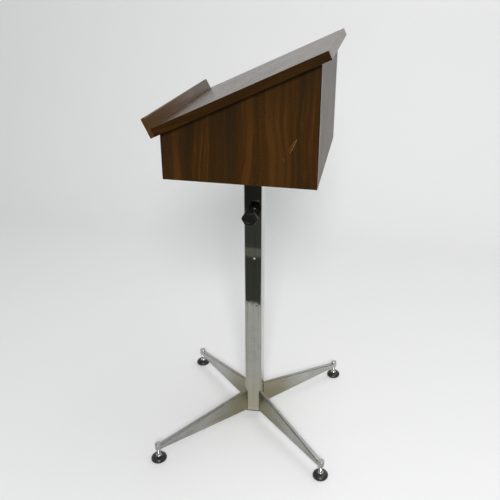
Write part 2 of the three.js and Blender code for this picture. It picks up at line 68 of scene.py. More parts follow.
def arc(
    centre: Point, radii: Point, start: float = 0.0, sweep: float = QUARTER, steps: int = 8
) -> list[Point]:
    """Points along an elliptic arc.

    Args:
        centre: Its centre.
        radii: Its half-axes.
        start: The first point's angle.
        sweep: The angle it runs through, negative clockwise.
        steps: Segments in it.

    Returns:
        Its points, both ends included.
    """
    (x, y), (wide, tall) = centre, radii
    angles = [start + sweep * k / steps for k in range(steps + 1)]
    return [(x + wide * math.cos(a), y + tall * math.sin(a)) for a in angles]


def loop(radius: float, z: float, sides: int) -> list[tuple]:
    """A level ring of points about Z."""
    angles = [2 * math.pi * k / sides for k in range(sides)]
    return [(radius * math.cos(a), radius * math.sin(a), z) for a in angles]


def dim(colour: Colour, share: float) -> Colour:
    """A colour with each channel scaled."""
    return tuple(share * c for c in colour)


# ---- shader writing ----


class Wire:
    """A shader socket whose arithmetic adds Math nodes."""

    def __init__(self, shader: "Shader", socket: bpy.types.NodeSocket) -> None:
        """Wraps a socket.

        Args:
            shader: The material that the socket is in.
            socket: An output socket.
        """
        self.shader = shader
        self.socket = socket

    def _math(self, operation: str, first: object, second: object) -> "Wire":
        """Adds one Math node.

        Args:
            operation: The Math node's operation.
            first: Its first value, a Wire or a number.
            second: Its second value, a Wire or a number.

        Returns:
            The node's result.
        """
        return self.shader.node(
            "ShaderNodeMath", {"operation": operation}, {0: first, 1: second}
        )

    def __add__(self, other: object) -> "Wire":
        """This plus other."""
        return self._math("ADD", self, other)

    def __radd__(self, other: object) -> "Wire":
        """Other plus this."""
        return self._math("ADD", other, self)

    def __sub__(self, other: object) -> "Wire":
        """This less other."""
        return self._math("SUBTRACT", self, other)

    def __rsub__(self, other: object) -> "Wire":
        """Other less this."""
        return self._math("SUBTRACT", other, self)

    def __mul__(self, other: object) -> "Wire":
        """This times other."""
        return self._math("MULTIPLY", self, other)

    def __abs__(self) -> "Wire":
        """This without its sign."""
        return self._math("ABSOLUTE", self, 0.0)


class Shader:
    """A material under construction, with one Principled shader."""

    def __init__(self, name: str) -> None:
        """Starts an empty material.

        Args:
            name: The material's name.
        """
        self.material = bpy.data.materials.new(name)
        self.material.use_nodes = True
        self.tree = self.material.node_tree
        self.tree.nodes.clear()
        self.surface = self.tree.nodes.new("ShaderNodeBsdfPrincipled")
        output = self.tree.nodes.new("ShaderNodeOutputMaterial")
        self.tree.links.new(self.surface.outputs[0], output.inputs[0])

    def put(self, socket: bpy.types.NodeSocket, value: object) -> None:
        """Links or sets one input.

        Args:
            socket: The input socket.
            value: A Wire, a number, or a tuple of them.
        """
        if isinstance(value, Wire):
            self.tree.links.new(value.socket, socket)
        elif isinstance(value, tuple) and len(value) == 3 and socket.type == "RGBA":
            socket.default_value = (*value, 1.0)
        else:
            socket.default_value = value

    def node(
        self,
        kind: str,
        settings: dict | None = None,
        inputs: dict | None = None,
        output: int | str = 0,
    ) -> Wire:
        """Adds a node.

        Args:
            kind: The node's type.
            settings: Its properties, set first; "stops" are a ramp's (place, colour) pairs.
            inputs: Values or Wires for its sockets, by name or index.
            output: Which output to return.

        Returns:
            The chosen output.
        """
        made = self.tree.nodes.new(kind)
        for key, value in (settings or {}).items():
            if key == "stops":
                self._stops(made.color_ramp, value)
            else:
                setattr(made, key, value)
        for key, value in (inputs or {}).items():
            self.put(made.inputs[key], value)
        return Wire(self, made.outputs[output])

    def _stops(self, ramp: bpy.types.ColorRamp, stops: list) -> None:
        """Sets a ramp's stops.

        Args:
            ramp: The ramp.
            stops: (place, colour or grey) pairs in rising order.
        """
        while len(ramp.elements) < len(stops):
            ramp.elements.new(1.0)
        for element, (place, value) in zip(ramp.elements, stops):
            grey = not isinstance(value, tuple)
            element.position = place
            element.color = (value, value, value, 1.0) if grey else (*value, 1.0)

    def place(self) -> Wire:
        """The place on the part in the frame's metres, the same at every pose."""
        return self.node("ShaderNodeTexCoord", output="Object")

    def stretch(
        self, vector: Wire, scale: Colour, turn: Colour = (0, 0, 0), shift: Colour = (0, 0, 0)
    ) -> Wire:
        """Turns, moves and scales coordinates.

        Args:
            vector: The coordinates.
            scale: Scale on each axis after the turn.
            turn: Rotation in radians.
            shift: Offset.

        Returns:
            The new coordinates.
        """
        turned = vector
        if any(turn):
            turned = self.node(
                "ShaderNodeVectorRotate",
                {"rotation_type": "EULER_XYZ"},
                {"Vector": vector, "Rotation": turn},
            )
        return self.node(
            "ShaderNodeMapping",
            {"vector_type": "POINT"},
            {"Vector": turned, "Scale": scale, "Location": shift},
        )

    def split(self, vector: Wire) -> tuple[Wire, Wire, Wire]:
        """The three parts of a vector."""
        made = self.node("ShaderNodeSeparateXYZ", {}, {0: vector}).socket.node
        return tuple(Wire(self, out) for out in made.outputs)

    def noise(self, vector: Wire, scale: float, detail: float = 2.0, rough: float = 0.5) -> Wire:
        """Fractal noise from 0 to 1.

        Args:
            vector: Coordinates.
            scale: Its scale.
            detail: Octaves.
            rough: How strong the finer octaves are.

        Returns:
            The noise's value.
        """
        return self.node(
            "ShaderNodeTexNoise",
            {"noise_dimensions": "3D"},
            {"Vector": vector, "Scale": scale, "Detail": detail, "Roughness": rough},
        )

    def ramp(self, value: Wire, stops: list) -> Wire:
        """A value through a linear colour ramp."""
        return self.node("ShaderNodeValToRGB", {"stops": stops}, {0: value})

    def step(self, value: Wire, start: float, end: float) -> Wire:
        """A smooth step of a value from 0 at start to 1 at end."""
        return self.node(
            "ShaderNodeMapRange",
            {"interpolation_type": "SMOOTHSTEP"},
            {"Value": value, "From Min": start, "From Max": end},
        )

    def blend(self, share: object, first: object, second: object, mode: str = "MIX") -> Wire:
        """Mixes two colours.

        Args:
            share: How much of the second, from 0 to 1.
            first: A colour or a Wire.
            second: A colour or a Wire.
            mode: The Mix node's blending.

        Returns:
            The mixed colour.
        """
        return self.node(
            "ShaderNodeMix",
            {"data_type": "RGBA", "blend_type": mode},
            {0: share, 6: first, 7: second},
            output=2,
        )

    def bump(self, height: Wire, depth: float, under: Wire | None = None) -> Wire:
        """A bumped normal.

        Args:
            height: The height, from 0 to 1.
            depth: What a height of 1 stands for, in metres.
            under: A normal that this one goes on top of.

        Returns:
            The normal.
        """
        inputs = {"Height": height, "Distance": depth, "Strength": 1.0}
        if under is not None:
            inputs["Normal"] = under
        return self.node("ShaderNodeBump", {}, inputs)

    def finish(self, **sockets: object) -> bpy.types.Material:
        """Sets the surface's sockets.

        Args:
            sockets: Values or Wires by socket name, with _ for a space.

        Returns:
            The material.
        """
        for key, value in sockets.items():
            self.put(self.surface.inputs[key.replace("_", " ")], value)
        return self.material


# ---- finishes ----


class Grain(Enum):
    """Which way a panel's grain runs, as the turn that lays it along Z."""

    UPRIGHT = (0.0, 0.0, 0.0)
    CROSSWISE = (QUARTER, 0.0, 0.0)
    ALONG = (0.0, -QUARTER, 0.0)


@dataclass(frozen=True)
class WalnutLaminate:
    """Satin walnut-grain laminate over board."""

    name: str
    grain: Grain = Grain.UPRIGHT
    slope: float = 0.0
    shift: Colour = (0.0, 0.0, 0.0)
    tone: float = 1.0
    gloss: float = 0.27
    sheen: float = 0.22
    # film: share of a warm pale layer, part dust and part painted sheen that stands in for warm
    # reflections
    film: float = 0.0
    scratches: tuple = ()
    arris_x: tuple = ()
    # Low edge, height and rise of the board above, for painted shade under it
    board_shade: tuple = ()

    DARK = (0.0235, 0.0115, 0.0030)
    MIDDLE = (0.0380, 0.0152, 0.0024)
    LIGHT = (0.0600, 0.0232, 0.0036)
    LINE = (0.0125, 0.0070, 0.0028)
    STREAK = (0.0950, 0.0370, 0.0062)
    # Warm pale tint of dust and painted sheen
    DUST_AND_SHEEN = (0.42, 0.30, 0.16)

    def material(self) -> bpy.types.Material:
        """The finish as a material."""
        s = Shader(self.name)
        level = s.place()
        if self.slope:
            level = s.stretch(level, (1, 1, 1), (0.0, self.slope, 0.0))
        wood = s.stretch(level, (1, 1, 1), self.grain.value, self.shift)
        sway = s.noise(s.stretch(wood, (7.0, 7.0, 2.6)), 1.0, 2.0)
        sweep = s.noise(s.stretch(wood, (30.0, 30.0, 3.5), shift=(3.1, 0, 0)), 1.0, 2.0)
        x, y, z = s.split(wood)
        across = x + y + (sway - 0.5) * 0.085 + (sweep - 0.5) * 0.010
        lines = s.node("ShaderNodeCombineXYZ", {}, {0: across, 1: 0.0, 2: z * 0.03})
        bands = s.noise(lines, 24.0, 2.0, 0.5)
        figure = s.noise(lines, 95.0, 3.0, 0.6)
        fine = s.noise(s.stretch(lines, (1.0, 1.0, 14.0)), 520.0, 3.0, 0.65)
        pores = s.noise(s.stretch(wood, (1.0, 1.0, 0.03)), 1100.0, 2.0, 0.5)
        tone = s.step(bands * 0.60 + figure * 0.28 + fine * 0.12, 0.34, 0.66)
        wide = s.ramp(tone, [(0.0, self.DARK), (0.5, self.MIDDLE), (1.0, self.LIGHT)])
        vein = s.step(abs(figure - 0.47), 0.020, 0.004) * s.step(bands, 0.42, 0.56)
        dark = s.blend(vein * 0.50, wide, self.LINE)
        flame = s.step(abs(figure - 0.58), 0.018, 0.003) * s.step(sway, 0.40, 0.60)
        lit = s.blend(flame * 0.45, dark, self.STREAK)
        short = s.step(pores, 0.62, 0.76)
        colour = s.blend(short * 0.22, lit, self.LINE)
        # Painted shade under the overhanging board: a darkening gradient and a dark line, in the
        # grain's line colour
        if self.board_shade:
            colour = s.blend(self._painted_board_shade(s, level), colour, self.LINE)
        toned = s.blend(1.0, colour, (self.tone,) * 3, "MULTIPLY")
        smear = s.noise(level, 11.0, 4.0, 0.6)
        # A warm pale layer over the colour: dust, and painted sheen that stands in for the
        # surface's warm reflections
        if self.film:
            toned = s.blend(self.film, toned, self.DUST_AND_SHEEN)
        rough = self.gloss + (fine - 0.5) * 0.05 + short * 0.05 + (smear - 0.5) * 0.10
        wear = s.noise(level, 260.0, 2.0, 0.6)
        for a, b, width in self.scratches:
            mark = self._scratch(s, level, a, b, width) * s.step(wear, 0.36, 0.52)
            toned = s.blend(mark * 0.62, toned, (0.25, 0.125, 0.045))
            rough = rough + mark * 0.2
        for edge in self.arris_x:
            line = s.step(abs(s.split(level)[0] - edge), 0.0022, 0.0008)
            toned = s.blend(line * 0.75, toned, (0.006, 0.004, 0.003))
        grainy = s.bump(fine * 0.5 + (1.0 - short) * 0.5, 0.00006)
        return s.finish(
            Base_Color=toned,
            Roughness=rough,
            Normal=s.bump(smear, 0.0003, grainy),
            Specular_IOR_Level=self.sheen,
            Specular_Tint=(1.0, 0.92, 0.76, 1.0),
            IOR=1.5,
        )

    def _painted_board_shade(self, s: Shader, level: Wire) -> Wire:
        """Painted shade below an overhanging board, darkest right under it.

        Args:
            s: The shader.
            level: Coordinates.

        Returns:
            A mask.
        """
        low_x, low_z, rise = self.board_shade
        x, _, z = s.split(level)
        under = (x - low_x) * rise + (low_z - z)
        return s.step(under, 0.105, 0.0) * 0.34 + s.step(under, 0.0060, 0.0010) * 0.30

    def _scratch(self, s: Shader, level: Wire, a: Point, b: Point, width: float) -> Wire:
        """A straight scratch on an X-Z face.

        Args:
            s: The shader.
            level: Coordinates.
            a: One end, (x, z).
            b: Other end, (x, z).
            width: The scratch's width.

        Returns:
            A mask that is 1 on the scratch.
        """
        length = math.dist(a, b)
        ux, uz = (b[0] - a[0]) / length, (b[1] - a[1]) / length
        x, _, z = s.split(level)
        along = (x - a[0]) * ux + (z - a[1]) * uz
        bow = (along - length / 2) * (along - length / 2) * 2.5
        off = abs((z - a[1]) * ux - (x - a[0]) * uz + bow)
        ends = s.step(along, 0.0, 0.006) * s.step(along, length, length - 0.008)
        return s.step(off, width, width * 0.35) * ends


@dataclass(frozen=True)
class WornChrome:
    """Aged chrome plate: hazy, streaked, and stained towards the hub."""

    name: str
    tint: Colour = (0.50, 0.50, 0.475)
    rough: float = 0.10
    haze: float = 0.22
    stain: float = 0.0
    stain_tint: Colour = (0.25, 0.225, 0.145)
    streaks: float = 0.5
    ripple: float = 0.00012
    spokes: bool = False
    residue: tuple = ()

    def material(self) -> bpy.types.Material:
        """The finish as a material."""
        s = Shader(self.name)
        at = s.place()
        x, y, z = s.split(at)
        drawn = s.stretch(at, (150.0, 150.0, 6.0))
        rolled = s.stretch(at, (1300.0, 1300.0, 60.0))
        if self.spokes:
            off, out = abs(x) - abs(y), abs(x) + abs(y)
            line = s.node("ShaderNodeCombineXYZ", {}, {0: off, 1: z, 2: out})
            drawn = s.stretch(line, (190.0, 190.0, 9.0))
            rolled = s.stretch(line, (1100.0, 1300.0, 40.0))
        cloud = s.noise(at, 24.0, 5.0, 0.62)
        drips = s.noise(drawn, 1.0, 4.0, 0.6)
        fine = s.noise(rolled, 1.0, 2.0, 0.5)
        specks = s.node(
            "ShaderNodeTexVoronoi", {"feature": "F1"}, {"Vector": at, "Scale": 230.0}
        )
        pit = s.step(specks, 0.13, 0.05) * s.step(s.noise(at, 40.0, 3.0), 0.52, 0.66)
        dull = s.step(cloud, 0.42, 0.68)
        run = s.step(drips, 0.48, 0.70) * self.streaks
        hub = s.node("ShaderNodeVectorMath", {"operation": "LENGTH"}, {0: at}, output=1)
        old = s.step(hub + (cloud - 0.5) * 0.10, 0.200, 0.060) * self.stain
        clean = s.blend(dull * 0.35, self.tint, dim(self.tint, 0.66))
        streaky = s.blend(run * 0.75, clean, dim(self.tint, 0.55))
        warm = s.blend(old, streaky, self.stain_tint)
        colour = s.blend(pit * 0.8, warm, (0.10, 0.065, 0.035))
        rough = self.rough + dull * self.haze * 0.4 + run * self.haze * 0.4 + old * 0.14
        rough = rough + pit * 0.4 + (fine - 0.5) * 0.03
        metal = 1.0 - pit * 0.7
        if self.residue:
            low, high = self.residue
            wander = z + (drips - 0.5) * 0.010 + (cloud - 0.5) * 0.012
            film = s.step(wander, low - 0.002, low + 0.004) * s.step(wander, high, high - 0.006)
            film = film * s.step(y, -0.0190, -0.0215)
            colour = s.blend(film * 0.5, colour, (0.36, 0.37, 0.25))
            rough = rough + film * 0.10
            metal = metal - film * 0.10
        return s.finish(
            Base_Color=colour,
            Metallic=metal,
            Roughness=rough,
            Normal=s.bump(cloud, self.ripple, s.bump(fine, 0.000010)),
        )


@dataclass(frozen=True)
class ZincSteel:
    """Zinc-plated steel fixings."""

    name: str
    tint: Colour = (0.46, 0.47, 0.47)
    rough: float = 0.36
    bloom_tint: Colour = (0.60, 0.60, 0.57)

    def material(self) -> bpy.types.Material:
        """The finish as a material."""
        s = Shader(self.name)
        at = s.place()
        spangle = s.node(
            "ShaderNodeTexVoronoi", {"feature": "F1"}, {"Vector": at, "Scale": 420.0}
        )
        cloud = s.noise(at, 60.0, 4.0, 0.6)
        brush = s.noise(s.stretch(at, (90.0, 1500.0, 1500.0)), 1.0, 2.0)
        bloom = s.step(cloud, 0.55, 0.75)
        base = s.blend(spangle * 0.35, self.tint, dim(self.tint, 0.72))
        colour = s.blend(bloom * 0.35, base, self.bloom_tint)
        return s.finish(
            Base_Color=colour,
            Metallic=1.0 - bloom * 0.35,
            Roughness=self.rough + bloom * 0.22 + (brush - 0.5) * 0.10,
            Normal=s.bump(brush * 0.6 + spangle * 0.4, 0.00003),
        )


@dataclass(frozen=True)
class MouldedPlastic:
    """Black moulded plastic with a spark-eroded grain, scuffs and dust."""

    name: str
    tint: Colour = (0.0105, 0.0105, 0.0110)
    rough: float = 0.36
    grain: float = 0.00002
    dust: float = 0.25
    sheen: float = 0.5

    def material(self) -> bpy.types.Material:
        """The finish as a material."""
        s = Shader(self.name)
        at = s.place()
        grain = s.noise(at, 2400.0, 2.0, 0.6)
        cloud = s.noise(at, 45.0, 4.0, 0.6)
        scuff = s.noise(s.stretch(at, (120.0, 120.0, 900.0)), 1.0, 3.0, 0.7)
        up = s.split(s.node("ShaderNodeNewGeometry", output="Normal"))[2]
        lying = s.step(up, 0.35, 0.95) * s.step(cloud, 0.42, 0.70) * self.dust
        marks = s.step(scuff, 0.66, 0.78) * 0.5
        worn = s.blend(marks, self.tint, (0.045, 0.045, 0.045))
        colour = s.blend(lying * 0.45, worn, (0.16, 0.15, 0.135))
        return s.finish(
            Base_Color=colour,
            Roughness=self.rough + lying * 0.35 + marks * 0.2 + (cloud - 0.5) * 0.1,
            Specular_IOR_Level=self.sheen,
            Normal=s.bump(grain, self.grain),
        )


@dataclass(frozen=True)
class TurnedBrass:
    """Turned brass with fine lathe lines."""

    name: str

    def material(self) -> bpy.types.Material:
        """The finish as a material."""
        s = Shader(self.name)
        at = s.place()
        lines = s.noise(s.stretch(at, (60.0, 4000.0, 60.0)), 1.0, 2.0)
        tarnish = s.noise(at, 220.0, 4.0, 0.6)
        colour = s.blend(s.step(tarnish, 0.45, 0.7), (0.66, 0.43, 0.15), (0.30, 0.18, 0.07))
        return s.finish(
            Base_Color=colour,
            Metallic=1.0,
            Roughness=0.28 + tarnish * 0.2,
            Normal=s.bump(lines, 0.00002),
        )


@dataclass(frozen=True)
class RawWood:
    """Planed softwood, unfinished, with its grain along one axis."""

    name: str
    grain: Grain = Grain.UPRIGHT

    def material(self) -> bpy.types.Material:
        """The finish as a material."""
        s = Shader(self.name)
        wood = s.stretch(s.place(), (1, 1, 1), self.grain.value)
        warp = s.noise(s.stretch(wood, (30.0, 30.0, 4.0)), 1.0, 2.0)
        x, y, _ = s.split(wood)
        rings = s.node(
            "ShaderNodeTexWave",
            {"wave_type": "BANDS", "bands_direction": "X"},
            {
                "Vector": s.node(
                    "ShaderNodeCombineXYZ", {}, {0: x + y * 0.6 + warp * 0.012}
                ),
                "Scale": 75.0,
                "Distortion": 1.2,
            },
        )
        fibres = s.noise(s.stretch(wood, (1500.0, 1500.0, 70.0)), 1.0, 3.0, 0.6)
        rings_value = s.step(s.split(rings)[0], 0.45, 0.95)
        base = s.blend(rings_value * 0.75, (0.56, 0.38, 0.20), (0.33, 0.185, 0.080))
        colour = s.blend(s.step(fibres, 0.45, 0.75) * 0.35, base, (0.66, 0.50, 0.31))
        return s.finish(
            Base_Color=colour,
            Roughness=0.62 + (fibres - 0.5) * 0.2,
            Normal=s.bump(fibres, 0.00008),
        )


@dataclass(frozen=True)
class PaleSheet:
    """Off-white cloth of the studio backdrop."""

    name: str
    tint: Colour = (0.80, 0.80, 0.795)

    def material(self) -> bpy.types.Material:
        """The finish as a material."""
        s = Shader(self.name)
        at = s.place()
        cloud = s.noise(at, 1.3, 3.0, 0.5)
        weave = s.noise(at, 900.0, 2.0, 0.5)
        colour = s.blend(cloud * 0.30, self.tint, dim(self.tint, 0.93))
        return s.finish(
            Base_Color=colour,
            Roughness=0.9,
            Specular_IOR_Level=0.15,
            Normal=s.bump(weave, 0.0002),
        )


# ---- mesh writing ----


class Former:
    """Makes named mesh objects from points."""

    @staticmethod
    def ring(size: float, radius: float, steps: int = 8) -> list[Point]:
        """A square outline with round corners, anticlockwise.

        Args:
            size: Width across the flats.
            radius: Corner radius.
            steps: Segments in each corner.

        Returns:
            Its points.
        """
        c, points = size / 2 - radius, []
        for k, (sx, sy) in enumerate([(1, 1), (-1, 1), (-1, -1), (1, -1)]):
            points += arc((sx * c, sy * c), (radius, radius), k * QUARTER, steps=steps)
        return points

    @staticmethod
    def object(name: str, mesh: bmesh.types.BMesh, smooth: float = 35.0) -> bpy.types.Object:
        """Turns a BMesh into an object in the scene.

        Args:
            name: The object's name.
            mesh: Its BMesh, which is freed.
            smooth: Edges sharper than this many degrees stay sharp.

        Returns:
            The object.
        """
        bmesh.ops.recalc_face_normals(mesh, faces=mesh.faces)
        data = bpy.data.meshes.new(name)
        mesh.to_mesh(data)
        mesh.free()
        data.polygons.foreach_set("use_smooth", [True] * len(data.polygons))
        data.set_sharp_from_angle(angle=math.radians(smooth))
        made = bpy.data.objects.new(name, data)
        bpy.context.scene.collection.objects.link(made)
        return made

    @classmethod
    def rings(
        cls, name: str, rings: list[list[tuple]], closed: bool = False, smooth: float = 35.0
    ) -> bpy.types.Object:
        """A skin over rings of equal length.

        Args:
            name: The object's name.
            rings: Lists of 3-D points.
            closed: Whether the last ring joins the first, instead of two end faces.
            smooth: Edges sharper than this many degrees stay sharp.

        Returns:
            The object.
        """
        mesh = bmesh.new()
        rows = [[mesh.verts.new(p) for p in ring] for ring in rings]
        count = len(rings[0])
        pairs = list(zip(rows, rows[1:] + rows[:1])) if closed else list(zip(rows, rows[1:]))
        for a, b in pairs:
            for k in range(count):
                j = (k + 1) % count
                mesh.faces.new((a[k], a[j], b[j], b[k]))
        if not closed:
            mesh.faces.new(reversed(rows[0]))
            mesh.faces.new(rows[-1])
        return cls.object(name, mesh, smooth)

    @classmethod
    def lathe(
        cls, name: str, profile: list[Point], sides: int = 48, smooth: float = 35.0
    ) -> bpy.types.Object:
        """A turned solid about Z from (radius, height) points; a radius of 0 is a pole.

        Args:
            name: The object's name.
            profile: Points from pole to pole.
            sides: Segments around.
            smooth: Edges sharper than this many degrees stay sharp.

        Returns:
            The object.
        """
        mesh = bmesh.new()
        rows = []
        for radius, height in profile:
            if radius < 1e-9:
                rows.append([mesh.verts.new((0, 0, height))])
                continue
            rows.append([mesh.verts.new(p) for p in loop(radius, height, sides)])
        for a, b in zip(rows, rows[1:]):
            for k in range(sides):
                j = (k + 1) % sides
                if len(a) == 1:
                    mesh.faces.new((a[0], b[j], b[k]))
                elif len(b) == 1:
                    mesh.faces.new((a[k], a[j], b[0]))
                else:
                    mesh.faces.new((a[k], a[j], b[j], b[k]))
        return cls.object(name, mesh, smooth)

    @classmethod
    def drill(cls, radius: float, low: float, high: float, sides: int) -> bpy.types.Object:
        """A cylinder about Z, to cut a hole with.

        Args:
            radius: Its radius.
            low: Its lower end.
            high: Its upper end.
            sides: Segments around.

        Returns:
            The cylinder.
        """
        return cls.lathe("tool", [(0, low), (radius, low), (radius, high), (0, high)], sides)

    @classmethod
    def threaded(cls, name: str, ends: Point, tails: list, sides: int) -> bpy.types.Object:
        """A screw thread about Z between two heights, with plain turned ends.

        Args:
            name: The object's name.
            ends: Lowest and highest height of the thread.
            tails: Two lists of (radius, height) rings below and above, both rising.
            sides: Segments around.

        Returns:
            The object.
        """
        low, high = ends
        steps = max(2, round((high - low) / LEAD * 6))
        rings = [[(r, z)] * sides for r, z in tails[0]]
        for k in range(steps + 1):
            z = low + (high - low) * k / steps
            fade = min(1.0, k / 6, (steps - k) / 6)
            row = []
            for j in range(sides):
                phase = (z / LEAD - j / sides) % 1.0
                cut = 0.30 * LEAD * (1 - abs(2 * phase - 1)) * fade
                row.append((THREAD - cut * 1.6, z))
            rings.append(row)
        rings += [[(r, z)] * sides for r, z in tails[1]]
        angles = [2 * math.pi * j / sides for j in range(sides)]
        points = [
            [(r * math.cos(a), r * math.sin(a), z) for a, (r, z) in zip(angles, row)]
            for row in rings
        ]
        return cls.rings(name, points, smooth=50.0)

    @staticmethod
    def cut(target: bpy.types.Object, *tools: bpy.types.Object) -> bpy.types.Object:
        """Cuts tools out of a target and removes them.

        Args:
            target: The object that is cut.
            tools: The objects that cut it.

        Returns:
            The target.
        """
        for tool in tools:
            knife = target.modifiers.new("cut", "BOOLEAN")
            knife.operation, knife.solver, knife.object = "DIFFERENCE", "EXACT", tool
        graph = bpy.context.evaluated_depsgraph_get()
        data = bpy.data.meshes.new_from_object(target.evaluated_get(graph))
        target.modifiers.clear()
        target.data = data
        for tool in tools:
            bpy.data.objects.remove(tool)
        data.polygons.foreach_set("use_smooth", [True] * len(data.polygons))
        data.set_sharp_from_angle(angle=math.radians(35))
        return target

    @staticmethod
    def soften(target: bpy.types.Object, width: float) -> None:
        """Rounds an object's edges of over 40 degrees with modifiers.

        Args:
            target: The object.
            width: Width of the rounding.
        """
        weld = target.modifiers.new("weld", "WELD")
        weld.merge_threshold = 1e-5
        bevel = target.modifiers.new("soften", "BEVEL")
        bevel.width, bevel.segments = width, 2
        bevel.limit_method, bevel.angle_limit = "ANGLE", math.radians(40)

    @staticmethod
    def move(target: bpy.types.Object, matrix: Matrix) -> bpy.types.Object:
        """Moves an object's own points and returns it."""
        target.data.transform(matrix)
        return target


@dataclass
class Assembly:
    """What every sub-assembly does with its pieces."""

    made: list = field(default_factory=list)

    def dress(self, name: str, material: bpy.types.Material) -> bpy.types.Object:
        """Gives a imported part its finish.

        Args:
            name: The part's name.
            material: Its finish.

        Returns:
            The part's object.
        """
        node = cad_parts[name]
        node.data.materials.clear()
        node.data.materials.append(material)
        self.made.append(name)
        return node

    def add(
        self,
        piece: bpy.types.Object,
        body: str,
        material: bpy.types.Material,
        slot: str,
        stands_for: str = "",
    ) -> None:
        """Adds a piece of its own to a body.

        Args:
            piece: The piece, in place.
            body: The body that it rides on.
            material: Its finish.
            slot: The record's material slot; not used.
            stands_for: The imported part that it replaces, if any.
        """
        piece.data.materials.clear()
        piece.data.materials.append(material)
        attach(piece, body)
        if stands_for:
            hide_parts(stands_for)
        self.made.append(piece.name)

    def report(self) -> None:
        """Logs each piece that was made."""
        for name in self.made:
            log.info("%s: %s", type(self).__name__, name)


# ---- head ----


